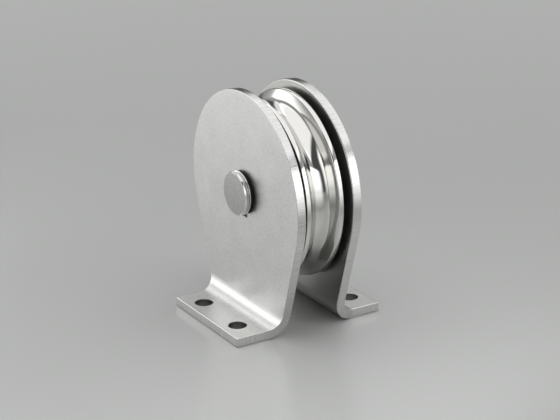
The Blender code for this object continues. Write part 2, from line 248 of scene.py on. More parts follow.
def grey_between(tree, value, dark, light):
    """A colour between two, by a pattern's value. The Mix node's colour sockets are found by number."""
    inputs = {MIX_SHARE: value, MIX_FIRST_COLOUR: (*dark, 1), MIX_SECOND_COLOUR: (*light, 1)}
    return node(tree, "Mix", inputs, data_type="RGBA").outputs[MIXED_COLOUR]


def relief(tree, shader, height, depth):
    """Tiny relief from a pattern: its full height is the given depth, in metres."""
    bump = node(tree, "Bump", {"Height": height, "Distance": depth, "Strength": 1.0})
    tree.links.new(bump.outputs["Normal"], shader.inputs["Normal"])


# %% [markdown]
# ## Blasted plate faces
#
# The plates' faces were blasted with fine beads. That leaves a dull, even grey with a grain a few tenths of
# a millimetre across, and a slight cloudiness where the beads hit harder. A picture of such steel could be
# laid on, but noise needs no unwrapping, has no seams and never repeats: a fine one makes the relief, a
# coarser one a speckle in the tone, and a broad one changes tone and roughness a little.

# %% Blasted steel
BLASTED_DARK, BLASTED_LIGHT = (0.565, 0.57, 0.558), (0.725, 0.725, 0.712)
BLASTED_SMOOTHEST, BLASTED_ROUGHEST = 0.33, 0.39
GRAIN_SIZE, SPECKLE_SIZE, CLOUD_SIZE = 0.45 * MM, 1.2 * MM, 14 * MM
GRAIN_DEPTH = 0.035 * MM
CLOUD_SHARE = 0.45
TONE_LOW, TONE_HIGH = 0.45, 1.0


def blasted_steel():
    """Dull faces: the tone follows speckle + cloud share * cloud, and the relief follows the grain."""
    material, tree, shader = new_finish("blasted_steel", BLASTED_LIGHT, BLASTED_ROUGHEST)
    place = node(tree, "TexCoord").outputs["Object"]
    grain, speckle, cloud = (noise(tree, place, size, 3) for size in (GRAIN_SIZE, SPECKLE_SIZE, CLOUD_SIZE))
    sum_inputs = {0: cloud, 1: CLOUD_SHARE, 2: speckle}
    both = node(tree, "Math", sum_inputs, operation="MULTIPLY_ADD").outputs[0]
    tone = remap(tree, both, 0, 1, TONE_LOW, TONE_HIGH)
    colour = grey_between(tree, tone, BLASTED_DARK, BLASTED_LIGHT)
    tree.links.new(colour, shader.inputs["Base Color"])
    tree.links.new(remap(tree, cloud, BLASTED_SMOOTHEST, BLASTED_ROUGHEST), shader.inputs["Roughness"])
    relief(tree, shader, grain, GRAIN_DEPTH)
    return material


plate_face = blasted_steel()
print("finish of the faces:", plate_face.name)

# %% [markdown]
# ## Dressed edges
#
# The plates' edges were cut and then dressed. Fine lines run straight across the thickness, side by side
# along the outline. The edge's UV map holds the distance along the outline and the distance across the
# edge, both in metres, so a noise that is stretched across the edge draws these lines. Object coordinates
# couldn't do that, because the outline turns all the way round.

# %% Dressed edge
EDGE_DARK, EDGE_LIGHT = (0.54, 0.54, 0.53), (0.69, 0.69, 0.68)
EDGE_SMOOTHEST, EDGE_ROUGHEST = 0.16, 0.28
LINE_WIDTH = 0.5 * MM
LINE_LOW, LINE_HIGH = 0.3, 0.7
DRESSED_STRETCH = 0.03
DRESSED_DEPTH = 0.012 * MM


def stretched_lines(tree, scale):
    """Lines on a piece's UV map: noise at (scale x * along, scale y * across)."""
    pattern = node(tree, "UVMap", uv_map="pattern").outputs["UV"]
    stretched = node(tree, "Mapping", {"Vector": pattern, "Scale": scale}).outputs["Vector"]
    return noise(tree, stretched, LINE_WIDTH)


def dressed_edge():
    """Bright edges with lines across them, darker and smoother by turns, and a faint relief."""
    material, tree, shader = new_finish("dressed_edge", EDGE_LIGHT, EDGE_ROUGHEST)
    lines = remap(tree, stretched_lines(tree, (1, DRESSED_STRETCH, 1)), 0, 1, LINE_LOW, LINE_HIGH)
    tree.links.new(remap(tree, lines, EDGE_SMOOTHEST, EDGE_ROUGHEST), shader.inputs["Roughness"])
    colour = grey_between(tree, lines, EDGE_DARK, EDGE_LIGHT)
    tree.links.new(colour, shader.inputs["Base Color"])
    relief(tree, shader, lines, DRESSED_DEPTH)
    return material


plate_edge = dressed_edge()
print("finish of the edges:", plate_edge.name)

# %% [markdown]
# ## Drilled holes
#
# The walls of the holes are a little shiny, and their darker tone is a painted shade of the hollow. A drill
# leaves its marks round the hole, not across the sheet, so here the same noise is stretched the other way.

# %% Hole walls with painted shade
# The hole walls' dark tone is painted shade of the hollow.
HOLE_PAINTED_SHADE_TONE = (0.3, 0.3, 0.295)
DRILLED_SMOOTHEST, DRILLED_ROUGHEST = 0.24, 0.38
DRILLED_STRETCH = 0.05
DRILLED_DEPTH = 0.02 * MM


def hole_steel_painted_shade():
    """Hole walls darkened by painted shade, with lines round them, which change the roughness and make a
    faint relief.
    """
    material, tree, shader = new_finish("hole_steel_painted_shade", HOLE_PAINTED_SHADE_TONE, DRILLED_ROUGHEST)
    lines = stretched_lines(tree, (DRILLED_STRETCH, 1, 1))
    tree.links.new(remap(tree, lines, DRILLED_SMOOTHEST, DRILLED_ROUGHEST), shader.inputs["Roughness"])
    relief(tree, shader, lines, DRILLED_DEPTH)
    return material


plate_holes = hole_steel_painted_shade()
print("finish of the holes:", plate_holes.name)

# %% [markdown]
# ## Inner faces
#
# The faces that look at the sheave are smoother than the blasted ones, so they mirror the dark gap that they
# face, and their darker tone is a painted shade of that gap. A broad noise varies the roughness, and a very
# shallow fine one keeps the face from looking like glass.

# %% Inner steel with painted shade
# A darker tone than the blasted faces: painted shade of the gap between the plates and the sheave.
INNER_PAINTED_SHADE_TONE = (0.5, 0.5, 0.48)
INNER_SMOOTHEST, INNER_ROUGHEST = 0.25, 0.36
INNER_CLOUD_SIZE, INNER_GRAIN_SIZE = 9 * MM, 0.6 * MM
INNER_GRAIN_DEPTH = 0.004 * MM


def inner_steel_painted_shade():
    """Smoother inner faces whose darker tone is painted shade: the roughness follows a broad noise and the
    relief a fine one.
    """
    material, tree, shader = new_finish("inner_steel_painted_shade", INNER_PAINTED_SHADE_TONE, INNER_ROUGHEST)
    place = node(tree, "TexCoord").outputs["Object"]
    cloud = noise(tree, place, INNER_CLOUD_SIZE, 3)
    tree.links.new(remap(tree, cloud, INNER_SMOOTHEST, INNER_ROUGHEST), shader.inputs["Roughness"])
    relief(tree, shader, noise(tree, place, INNER_GRAIN_SIZE), INNER_GRAIN_DEPTH)
    return material


plate_back = inner_steel_painted_shade()
FACE, EDGE_FINISH, BACK, HOLE = 0, 1, 2, 3
PLATE_FINISHES = [plate_face, plate_edge, plate_back, plate_holes]
print("finish of the inner faces:", plate_back.name)

# %% [markdown]
# ## Side plates
#
# Each plate is one sheet of steel, cut flat and bent once. The script works the same way: it describes the
# flat blank with its holes and then carries every point round the bend. The blank's outline is a foot
# rectangle, two tapers that touch the crown, and the round crown about the axle.

# %% The blank's right-hand edge
FOOT_ROWS = 24
BEND_ROWS = 36
TAPER_ROWS = 30
CROWN_ROWS = 170
COLUMNS = 48


def side_line(inset):
    """Right-hand edge of the blank, from the foot's corner to the crown's middle, moved in by the inset.

    The foot's side is x = half width - inset. The taper is a tangent of the crown, a circle of radius
    R - inset about the axle, and stays its tangent at the same angle when both move in. The taper ends where
    it meets the foot's side.
    """
    half = FOOT_WIDTH / 2
    drop = SHOULDER - AXLE_HEIGHT
    touch = atan2(drop, half) + acos(CROWN_RADIUS / hypot(half, drop))
    radius = CROWN_RADIUS - inset
    start = np.array([radius * cos(touch), AXLE_HEIGHT + radius * sin(touch)])
    along = np.array([sin(touch), -cos(touch)])
    corner = start + along * (half - inset - start[0]) / along[0]
    crossing = start + along * (BEND_LINE - start[1]) / along[1]
    foot = np.linspace((half - inset, FOOT_END + inset), corner, FOOT_ROWS, endpoint=False)
    bent = np.linspace(corner, crossing, BEND_ROWS, endpoint=False)
    taper = np.linspace(crossing, start, TAPER_ROWS, endpoint=False)
    angles = np.linspace(touch, pi / 2, CROWN_ROWS + 1)
    crown = np.column_stack([radius * np.cos(angles), AXLE_HEIGHT + radius * np.sin(angles)])
    return np.vstack([foot, bent, taper, crown])


def mirrored(line):
    """The same line on the left, in the opposite order."""
    return line[::-1] * (-1, 1)


def bottom_line(inset):
    """The foot's outer edge, from its left corner to its right corner."""
    half = FOOT_WIDTH / 2 - inset
    return np.linspace((-half, FOOT_END + inset), (half, FOOT_END + inset), COLUMNS + 1)


def outline(inset):
    """The whole outline once round, from the foot's right corner over the crown and back to that corner."""
    right = side_line(inset)
    return np.vstack([right, mirrored(right)[1:], bottom_line(inset)[1:]])


print("outline of the blank:", len(outline(0)), "points")

# %% [markdown]
# The bend keeps the length of the neutral fibre, a little inside the middle of the sheet. A point below the
# bend line turns by (distance below the line / neutral radius), up to a quarter turn, and what is left of
# the distance runs straight out along the foot.

# %% Round the bend
ROUND_STEPS = 4
LAND_STEPS = 3


def bent_place(flat, depth):
    """World places of blank points (x, height) at a depth below the outer face, round the bend.

    Inside the bend, y = y0 + r cos(angle) and z = z0 - r sin(angle) with r = bend radius + depth.
    """
    x, height = flat[..., 0], flat[..., 1]
    below = BEND_LINE - height
    angle = np.clip(below / NEUTRAL_RADIUS, 0, pi / 2)
    past = np.maximum(0, below - NEUTRAL_RADIUS * pi / 2)
    radius = BEND_RADIUS + depth
    y = -PLATE_OUTER - BEND_RADIUS + radius * np.cos(angle) - past
    z = np.where(below <= 0, height, BEND_LINE - radius * np.sin(angle))
    return np.stack([x, y, z], axis=-1)


def quarter_round(size):
    """Pairs (inset, depth) from a face to the edge: inset = r (1 - sin a), depth = r (1 - cos a)."""
    return [(size * (1 - sin(a)), size * (1 - cos(a))) for a in np.linspace(0, pi / 2, ROUND_STEPS + 1)]


def edge_steps(thickness, front_break, back_break):
    """Pairs (inset, depth) across an edge: a quarter round, a straight land and a second quarter round."""
    land = [(0, d) for d in np.linspace(front_break, thickness - back_break, LAND_STEPS + 1)[1:-1]]
    second = [(inset, thickness - depth) for inset, depth in reversed(quarter_round(back_break))]
    return quarter_round(front_break) + land + second


def length_along(line):
    """Distance of each point of a line from its start, summed over the straight stretches between them."""
    return np.concatenate([[0], np.cumsum(np.hypot(*np.diff(line, axis=0).T))])


EDGE = edge_steps(PLATE_THICKNESS, ARRIS, BACK_ARRIS)
EDGE_ACROSS = length_along(np.array(EDGE))
print("an edge is", round(EDGE_ACROSS[-1] / MM, 2), "mm across, in", len(EDGE), "rows")


def edge_band(loop, finish):
    """The wall of an outline or a hole: its loop at each step of the edge, at that step's inset."""
    rows = np.stack([bent_place(loop(inset), depth) for inset, depth in EDGE])
    along = length_along(loop(0))
    pattern = np.stack(np.broadcast_arrays(along[None, :], EDGE_ACROSS[:, None]), axis=-1)
    return sheet(rows, pattern, finish)


# %% [markdown]
# Holes are loops too. A face with a hole is a ring-shaped sheet between the hole's loop and the loop round
# it, and both loops have the same number of points, matched by their direction from the hole's middle. A
# Boolean could cut the holes as well, but it would leave long thin faces that spoil the shading.

# %% Loops of the holes
NEARLY_ZERO = 1e-9
FACE_ROWS = 6
ROW_CROWDING = 1.5


def foot_hole(centre, angles):
    """A round hole's loop at the given directions; it grows by the inset."""
    spokes = np.column_stack([np.cos(angles), np.sin(angles)])
    return lambda grow: centre + (FOOT_HOLE_RADIUS + grow) * spokes


def keyed_hole(steps):
    """The axle hole with its key notch.

    Steps 0 to 1 run round the circle, 1 to 2 down the notch's left wall, 2 to 3 along its bottom and 3 to 4
    up its right wall.
    """
    def loop(grow):
        radius, half, bottom = AXLE_HOLE_RADIUS + grow, NOTCH_HALF + grow, NOTCH_DEPTH + grow
        mouth = acos(half / radius)
        angle = np.interp(steps, (0, 1), (-mouth, pi + mouth))
        round_part = radius * np.column_stack([np.cos(angle), np.sin(angle)])
        high = -radius * sin(mouth)
        knots = (1, 2, 3, 4)
        notch = np.column_stack([np.interp(steps, knots, (-half, -half, half, half)),
                                 np.interp(steps, knots, (high, -bottom, -bottom, high))])
        return np.where((steps <= 1)[:, None], round_part, notch) + (0, AXLE_HEIGHT)
    return loop


def keyed_steps(angles):
    """The step of the keyed hole that lies in each direction from the axle, with its four corners kept."""
    mouth = acos(NOTCH_HALF / AXLE_HOLE_RADIUS)
    high = AXLE_HOLE_RADIUS * sin(mouth)
    turn = np.mod(angles + mouth, 2 * pi)
    round_part = turn / (pi + 2 * mouth)
    aside = np.tan(turn - mouth - 3 * pi / 2)
    across = np.clip(NOTCH_DEPTH * aside, -NOTCH_HALF, NOTCH_HALF)
    down = np.clip(NOTCH_HALF / np.maximum(np.abs(aside), NEARLY_ZERO), high, NOTCH_DEPTH)
    wall = (down - high) / (NOTCH_DEPTH - high)
    steps = np.where(aside < 0, 1 + wall, 4 - wall)
    steps = np.where(np.abs(NOTCH_DEPTH * aside) < NOTCH_HALF, 2.5 + across / (2 * NOTCH_HALF), steps)
    steps = np.where(round_part <= 1, round_part, steps)
    for corner in (0, 1, 2, 3):
        steps[np.argmin(np.abs(steps - corner))] = corner
    return steps


def ring_sheet(outer, inner, depth, finish):
    """A flat face between two loops: outer + (inner - outer) * share, with more rows near the outer loop."""
    share = np.linspace(0, 1, FACE_ROWS + 1)[:, None, None] ** ROW_CROWDING
    return sheet(bent_place(outer + (inner - outer) * share, depth), finish=finish)


# %% [markdown]
# The face has four parts that share their borders: the upper part round the axle hole, the bend, and the two
# halves of the foot, each round its own bolt hole.


# %% One face of a plate
def directions(loop, centre):
    """Angle of each point of a loop as seen from a centre."""
    return np.arctan2(*(loop - centre).T[::-1])


def upper_loop(inset):
    """Border of the upper part: up the right side, over the crown, down the left and back along the bend."""
    right = side_line(inset)[FOOT_ROWS + BEND_ROWS:]
    left = mirrored(right)
    back_row = np.linspace(left[-1], right[0], COLUMNS + 1)
    return np.vstack([right, left[1:], back_row[1:]])


def foot_loop(inset):
    """Border of the foot's right half, from the middle of its top row round by the right side."""
    side = side_line(inset)[:FOOT_ROWS + 1]
    top = np.linspace((0, side[-1, 1]), side[-1], COLUMNS // 2 + 1)
    bottom = bottom_line(inset)[COLUMNS // 2:][::-1]
    middle = np.column_stack([np.zeros(FOOT_ROWS + 1), side[:, 1]])
    return np.vstack([top, side[::-1][1:], bottom[1:], middle[1:]])


HOLE_CENTRE = np.array([FOOT_HOLE_SPACING / 2, FOOT_END + FOOT_HOLE_INSET])
axle_hole = keyed_hole(keyed_steps(directions(upper_loop(ARRIS), (0, AXLE_HEIGHT))))
right_hole = foot_hole(HOLE_CENTRE, directions(foot_loop(ARRIS), HOLE_CENTRE))
print("points round the axle hole and a foot hole:", len(axle_hole(0)), len(right_hole(0)))


def left_hole(grow):
    """The right hole's loop, mirrored."""
    return right_hole(grow) * (-1, 1)


def plate_side(depth, inset, finish):
    """All sheets of one face, at the depth of that face, drawn in from the edges by its arris."""
    rows = side_line(inset)[FOOT_ROWS:FOOT_ROWS + BEND_ROWS + 1]
    across = np.linspace(-1, 1, COLUMNS + 1)
    strip = np.stack([rows[:, :1] * across, np.repeat(rows[:, 1:], COLUMNS + 1, axis=1)], axis=-1)
    foot = foot_loop(inset)
    return [
        ring_sheet(upper_loop(inset), axle_hole(inset), depth, finish),
        sheet(bent_place(strip, depth), finish=finish),
        ring_sheet(foot, right_hole(inset), depth, finish),
        ring_sheet(foot * (-1, 1), left_hole(inset), depth, finish),
    ]


# %% [markdown]
# The two plates are the same sheet, so one function makes both. Weighted normals shade the narrow rounded
# arrises by the large faces beside them, which keeps the flat faces perfectly flat to the eye.

# %% Both plates
PLATE_SMOOTH = 30


def fine_plate(name, turn):
    """A finished plate; the rear one is the front one turned half round about the vertical."""
    sheets = plate_side(0, ARRIS, FACE) + plate_side(PLATE_THICKNESS, BACK_ARRIS, BACK)
    sheets.append(edge_band(outline, EDGE_FINISH))
    sheets += [edge_band(hole, HOLE) for hole in (axle_hole, right_hole, left_hole)]
    sheets = [(points * (turn, turn, 1), pattern, finish) for points, pattern, finish in sheets]
    plate = piece_from(name, sheets, PLATE_FINISHES, PLATE_SMOOTH)
    even = plate.modifiers.new("even shading", "WEIGHTED_NORMAL")
    even.keep_sharp = True
    return plate


for name, turn in (("front_side_plate", 1), ("rear_side_plate", -1)):
    plate = fine_plate(name + "_fine", turn)
    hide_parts(name)
    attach(plate, "frame")

# %% [markdown]
# ## Turned pieces
#
# A lathe turns a profile about the axle. A profile is a list of (radius, distance in front of the sheave's
# mid-plane), and a sharp corner gets a small curve, because no real edge is perfectly sharp and a rounded
# one catches the light as a fine bright line. A Bevel modifier could round the edges too, but a curve in
# the profile costs few faces and gives each corner its own size.

# %% The lathe
CORNER_STEPS = 4
CORNER_POINTS = CORNER_STEPS + 1
HALF_CORNER = CORNER_STEPS // 2 + 1
LONGEST_SHARE = 0.45


def softened(corners, amount):
    """A closed profile with each corner replaced by a curve B(t) = (1-t)^2 A + 2t(1-t) C + t^2 B.

    C is the corner, and A and B lie on its two sides at the given amount, or at the longest share of a side
    that is shorter. A corner on the axis stays as it is.
    """
    corners = np.asarray(corners, float)
    amount = np.where(corners[:, :1] > 0, amount, 0)
    before = np.roll(corners, 1, axis=0) - corners
    after = np.roll(corners, -1, axis=0) - corners
    t = np.linspace(0, 1, CORNER_POINTS)[None, :, None]

    def stop(side):
        length = np.linalg.norm(side, axis=1, keepdims=True)
        return corners + side / length * np.minimum(amount, LONGEST_SHARE * length)

    start, end = stop(before)[:, None], stop(after)[:, None]
    curve = (1 - t) ** 2 * start + 2 * t * (1 - t) * corners[:, None] + t ** 2 * end
    return curve.reshape(-1, 2)


def round_the_axle(radius, along, angles):
    """Places at angles about the axle: x = r cos(a), y = -along, z = axle height + r sin(a)."""
    heights = AXLE_HEIGHT + radius * np.sin(angles)
    return np.stack(np.broadcast_arrays(radius * np.cos(angles), -along, heights), axis=-1)


def lathe(profile, steps, solid=False, finish=0):
    """The profile turned once about the axle.

    A ring's profile closes on itself. A solid piece's profile starts and ends on the axis instead.
    """
    loop = profile if solid else np.vstack([profile, profile[:1]])
    angles = np.linspace(0, 2 * pi, steps + 1)
    return sheet(round_the_axle(loop[:, :1], loop[:, 1:], angles), finish=finish)


# %% [markdown]
# ## Polished steel
#
# The sheave is polished to a mirror, so nearly all of its look comes from what it reflects. Turning leaves
# lines round the axle that polishing almost removes. A noise that depends only on the distance from the
# axle and on the distance along it makes such lines, too shallow to see except where a light grazes. The
# axle's face, its bright parts and the washers are the same finish with other numbers.

# %% Turned and polished finishes
SMEAR_SIZE = 5 * MM
SUM_LOW, SUM_HIGH = 0.6, 1.4


def turned_finish(name, colour, roughness, spread, line, depth):
    """Metal with fine lines round the axle: the pattern is noise at (distance from the axle, along it).

    The roughness goes from roughness - spread to roughness + spread; line is the lines' width and depth
    the height of their relief.
    """
    material, tree, shader = new_finish(name, colour, roughness)
    place = node(tree, "TexCoord").outputs["Object"]
    centred = node(tree, "Mapping", {"Vector": place, "Location": (0, 0, -AXLE_HEIGHT)}).outputs["Vector"]
    flat = node(tree, "Mapping", {"Vector": centred, "Scale": (1, 0, 1)}).outputs["Vector"]
    radius = node(tree, "VectorMath", {0: flat}, operation="LENGTH").outputs["Value"]
    along = node(tree, "SeparateXYZ", {0: place}).outputs["Y"]
    ring = node(tree, "CombineXYZ", {"X": radius, "Y": along}).outputs[0]
    lines = noise(tree, ring, line)
    smear = noise(tree, place, SMEAR_SIZE)
    mixed = node(tree, "Math", {0: lines, 1: smear}, operation="ADD").outputs[0]
    varied = remap(tree, mixed, roughness - spread, roughness + spread, SUM_LOW, SUM_HIGH)
    tree.links.new(varied, shader.inputs["Roughness"])
    relief(tree, shader, lines, depth)
    return material


mirror_steel = turned_finish("mirror_steel", (0.66, 0.655, 0.635), 0.08, 0.03, 0.35 * MM, 0.0006 * MM)
# The axle face's darker tone is painted shade, for a darker reflection than the pale floor gives.
turned_steel = turned_finish("turned_steel", (0.41, 0.41, 0.405), 0.27, 0.05, 0.25 * MM, 0.001 * MM)
bright_steel = turned_finish("bright_steel", (0.74, 0.74, 0.73), 0.1, 0.03, 0.2 * MM, 0.0008 * MM)
print("turned finishes:", mirror_steel.name, turned_steel.name, bright_steel.name)

# %% [markdown]
# ## Sheave
#
# The rope groove has a round bottom that runs out into two straight flanks, and a narrow land on each side
# of it. Towards the middle, the sheave is thinner, and a hub holds the bearing. One profile, turned once,
# gives all of it, with many points where the groove is round, because a mirror shows every flat spot.

# %% Sheave
GROOVE_RADIUS = 7 * MM
GROOVE_DEPTH = 7.5 * MM
GROOVE_FLANK = radians(30)
LIP = 0.5 * MM
RIM_WALL = 6.5 * MM
WEB_HALF = 4.5 * MM
HUB_CHAMFER = 1 * MM
SHEAVE_STEPS = 288
SHEAVE_SMOOTH = 25
GROOVE_POINTS = 41
LIP_RUN = 2 * MM
LAND_RUN = 1 * MM
HUB_WALL_RADIUS = 29.8 * MM
HUB_BORE = 23.8 * MM
HUB_HALF = 10.3 * MM
RING_SEAT = 25.3 * MM
RING_FRONT, RING_REAR = -7.075 * MM, -8.825 * MM
SHOULDER_BORE = 21.2 * MM
BORE_SHOULDER = 7.15 * MM


def sheave_profile():
    """Down the outside from the front, across the groove, and back through the bore.

    The groove's bottom is radius = root + R (1 - cos a), along = R sin a, up to the flanks' angle.
    """
    root = SHEAVE_RADIUS - GROOVE_DEPTH
    flank_start = root + GROOVE_RADIUS * (1 - sin(GROOVE_FLANK))
    half_bottom = GROOVE_RADIUS * cos(GROOVE_FLANK)
    half_mouth = half_bottom + (SHEAVE_RADIUS - flank_start) * tan(GROOVE_FLANK)
    inner_rim = root - RIM_WALL
    front_side = [
        (SHOULDER_BORE, HUB_HALF), (HUB_WALL_RADIUS - HUB_CHAMFER, HUB_HALF),
        (HUB_WALL_RADIUS, HUB_HALF - HUB_CHAMFER), (HUB_WALL_RADIUS + HUB_CHAMFER, WEB_HALF),
        (inner_rim - HUB_CHAMFER, WEB_HALF), (inner_rim, SHEAVE_HALF),
        (SHEAVE_RADIUS, SHEAVE_HALF), (SHEAVE_RADIUS, half_mouth),
    ]
    front = softened(front_side, LIP)[HALF_CORNER:-HALF_CORNER]
    angles = np.linspace(pi / 2 - GROOVE_FLANK, GROOVE_FLANK - pi / 2, GROOVE_POINTS)
    bottom_radius = root + GROOVE_RADIUS * (1 - np.cos(angles))
    groove = np.column_stack([bottom_radius, GROOVE_RADIUS * np.sin(angles)])
    rear_side = [(HUB_WALL_RADIUS - HUB_CHAMFER, -HUB_HALF)]
    bore = [
        (HUB_BORE, -HUB_HALF), (HUB_BORE, RING_REAR), (RING_SEAT, RING_REAR), (RING_SEAT, RING_FRONT),
        (HUB_BORE, RING_FRONT), (HUB_BORE, BORE_SHOULDER), (SHOULDER_BORE, BORE_SHOULDER),
    ]
    mouth = [
        (SHEAVE_RADIUS - LIP_RUN, half_mouth - LIP_RUN * tan(GROOVE_FLANK)), (SHEAVE_RADIUS, half_mouth),
        (SHEAVE_RADIUS, half_mouth + LAND_RUN),
    ]
    lip = softened(mouth, LIP)[CORNER_POINTS:2 * CORNER_POINTS]
    rear = (front * (1, -1))[::-1]
    return np.vstack([front, lip[::-1], groove, lip * (1, -1), rear, rear_side, bore])


whole = sheave_profile()
print("sheave profile has", len(whole), "points")
sheave = piece_from("sheave_fine", [lathe(whole, SHEAVE_STEPS)], [mirror_steel], SHEAVE_SMOOTH)
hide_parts("sheave")
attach(sheave, "sheave")

# %% [markdown]
# ## Axle
#
# The axle's head is a flat disc. Its face is turned and matt, with a darker tone that is painted shade for a
# darker reflection than the pale floor gives, and its chamfer and sides are bright, so the profile is turned
# as two sheets with a finish each. The head's rear edge is rounded more than the others, so that the thin
# washer behind it shows as a bright ring of its own. The rear end has a groove for the retaining ring. The
# flat slot for the key isn't round, so it is cut with a Boolean.

# %% Axle
axle_low, axle_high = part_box("axle")
HEAD_RADIUS = (axle_high.x - axle_low.x) / 2
HEAD_FRONT = -axle_low.y
AXLE_REAR = -axle_high.y
AXLE_RADIUS = 10 * MM
NECK_RADIUS = 9.1 * MM
NECK_FRONT, NECK_REAR = -20.75 * MM, -22.25 * MM
HEAD_THICKNESS = 2.4 * MM
HEAD_CHAMFER = 0.7 * MM
SHANK_CHAMFER = 0.8 * MM
EDGE_SOFTNESS = 0.12 * MM
HEAD_REAR_ROUND = 0.7 * MM
HEAD_REAR_EDGE = 3
FACE_POINTS = CORNER_POINTS + HALF_CORNER
TURN_STEPS = 144

head_rear = HEAD_FRONT - HEAD_THICKNESS
axle_profile = [
    (0, HEAD_FRONT), (HEAD_RADIUS - HEAD_CHAMFER, HEAD_FRONT), (HEAD_RADIUS, HEAD_FRONT - HEAD_CHAMFER),
    (HEAD_RADIUS, head_rear), (AXLE_RADIUS, head_rear), (AXLE_RADIUS, NECK_FRONT), (NECK_RADIUS, NECK_FRONT),
    (NECK_RADIUS, NECK_REAR), (AXLE_RADIUS, NECK_REAR), (AXLE_RADIUS, AXLE_REAR + SHANK_CHAMFER),
    (AXLE_RADIUS - SHANK_CHAMFER, AXLE_REAR), (0, AXLE_REAR),
]
edge_softness = np.full((len(axle_profile), 1), EDGE_SOFTNESS)
edge_softness[HEAD_REAR_EDGE] = HEAD_REAR_ROUND
axle_line = softened(axle_profile, edge_softness)
axle_sheets = [lathe(axle_line[:FACE_POINTS], TURN_STEPS, solid=True),
               lathe(axle_line[FACE_POINTS - 1:], TURN_STEPS, solid=True, finish=1)]
axle = piece_from("axle_fine", axle_sheets, [turned_steel, bright_steel])
faces_before = len(axle.data.polygons)


def cut_slot(piece, low, high):
    """Takes a box out of a piece: the key's seat in the axle."""
    bm = bmesh.new()
    bmesh.ops.create_cube(bm, size=1)
    bmesh.ops.scale(bm, vec=high - low, verts=bm.verts)
    bmesh.ops.translate(bm, vec=(low + high) / 2, verts=bm.verts)
    cutter_mesh = bpy.data.meshes.new("slot")
    bm.to_mesh(cutter_mesh)
    bm.free()
    cutter = bpy.data.objects.new("slot", cutter_mesh)
    bpy.context.scene.collection.objects.link(cutter)
    boolean = piece.modifiers.new("slot", "BOOLEAN")
    boolean.operation = "DIFFERENCE"
    boolean.object = cutter
    evaluated = piece.evaluated_get(bpy.context.evaluated_depsgraph_get())
    piece.data = bpy.data.meshes.new_from_object(evaluated)
    piece.modifiers.clear()
    bpy.data.objects.remove(cutter, do_unlink=True)


SLOT_ROOM = Vector((1, 1, 1)) * 0.15 * MM
key_low, key_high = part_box("axle_key")
cut_slot(axle, key_low - SLOT_ROOM, key_high + SLOT_ROOM)
print("axle faces before and after the slot:", faces_before, len(axle.data.polygons))
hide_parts("axle")
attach(axle, "frame")

# %% [markdown]
# ## Washers, seal and collars
#
# These are plain rings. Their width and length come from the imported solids, and only the bore has to be
# named. All are bright steel but the seal, which is black rubber: no metal, hardly any gloss and a fine
# grain.

# %% Seal rubber
RUBBER_TONE = (0.008, 0.008, 0.008)
RUBBER_GLOSS = 0.2
RUBBER_SMOOTHEST, RUBBER_ROUGHEST = 0.5, 0.7
RUBBER_GRAIN_SIZE, RUBBER_GRAIN_DEPTH = 0.3 * MM, 0.01 * MM


def seal_rubber():
    """Black rubber whose roughness and relief both follow a fine noise."""
    material, tree, shader = new_finish("seal_rubber", RUBBER_TONE, RUBBER_ROUGHEST, metallic=0)
    shader.inputs["Specular IOR Level"].default_value = RUBBER_GLOSS
    place = node(tree, "TexCoord").outputs["Object"]
    grain = noise(tree, place, RUBBER_GRAIN_SIZE)
    tree.links.new(remap(tree, grain, RUBBER_SMOOTHEST, RUBBER_ROUGHEST), shader.inputs["Roughness"])
    relief(tree, shader, grain, RUBBER_GRAIN_DEPTH)
    return material


black_rubber = seal_rubber()
print("finish of the seal:", black_rubber.name)

# %% Rings threaded on the axle
PLAIN_RINGS = (
    ("head_washer", bright_steel, "bright_steel", 0.5 * MM),
    ("head_seal", black_rubber, "seal_rubber", 0.3 * MM),
    ("rear_washer", bright_steel, "bright_steel", 0.25 * MM),
    ("front_spacer_collar", bright_steel, "bright_steel", 0.3 * MM),
    ("rear_spacer_collar", bright_steel, "bright_steel", 0.3 * MM),
)


def ring_profile(node_name, bore, softness):
    """A ring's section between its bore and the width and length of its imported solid."""
    low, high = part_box(node_name)
    outside = (high.x - low.x) / 2
    return softened([(bore, -low.y), (outside, -low.y), (outside, -high.y), (bore, -high.y)], softness)


for name, material, slot_name, softness in PLAIN_RINGS:
    profile = ring_profile(name, AXLE_HOLE_RADIUS, softness)
    ring = piece_from(name + "_fine", [lathe(profile, TURN_STEPS)], [material])
    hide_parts(name)
    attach(ring, "frame")

# %% [markdown]
# ## Retaining rings
#
# A retaining ring is sprung over its groove, so it is open at one place. Its rounded section is carried
# along an arc that leaves the gap out, and each end is closed by a sheet that shrinks the section to its
# middle.

# %% Open rings
RING_STEPS = 96
END_ROWS = 2
RING_SOFTNESS = 0.15 * MM
spring_steel = turned_finish("spring_steel", (0.42, 0.42, 0.41), 0.3, 0.08, 0.3 * MM, 0.003 * MM)


def open_ring(node_name, width, gap, body):
    """A retaining ring with a gap at the bottom, whose half angle is asin(gap / 2 / radius)."""
    low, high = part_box(node_name)
    outside = high.z - AXLE_HEIGHT
    inside = outside - width
    corners = [(inside, -low.y), (outside, -low.y), (outside, -high.y), (inside, -high.y)]
    section = softened(corners, RING_SOFTNESS)
    loop = np.vstack([section, section[:1]])
    radius, along = loop[:, :1], loop[:, 1:]
    share = np.linspace(-1, 1, RING_STEPS + 1)[None, :]
    reach = pi - np.arcsin(gap / 2 / radius)
    body_points = round_the_axle(radius, along, pi / 2 + share * reach)
    sheets = [sheet(body_points)]
    for end in (0, -1):
        border = body_points[:, end]
        middle = border[:-1].mean(axis=0)
        shrink = np.linspace(0, 1, END_ROWS + 1)[:, None, None]
        sheets.append(sheet(border + (middle - border) * shrink))
    ring = piece_from(node_name + "_fine", sheets, [spring_steel])
    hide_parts(node_name)
    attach(ring, body)


open_ring("axle_retaining_ring", 3.4 * MM, 11 * MM, "frame")
open_ring("bore_retaining_ring", 3.6 * MM, 10 * MM, "sheave")

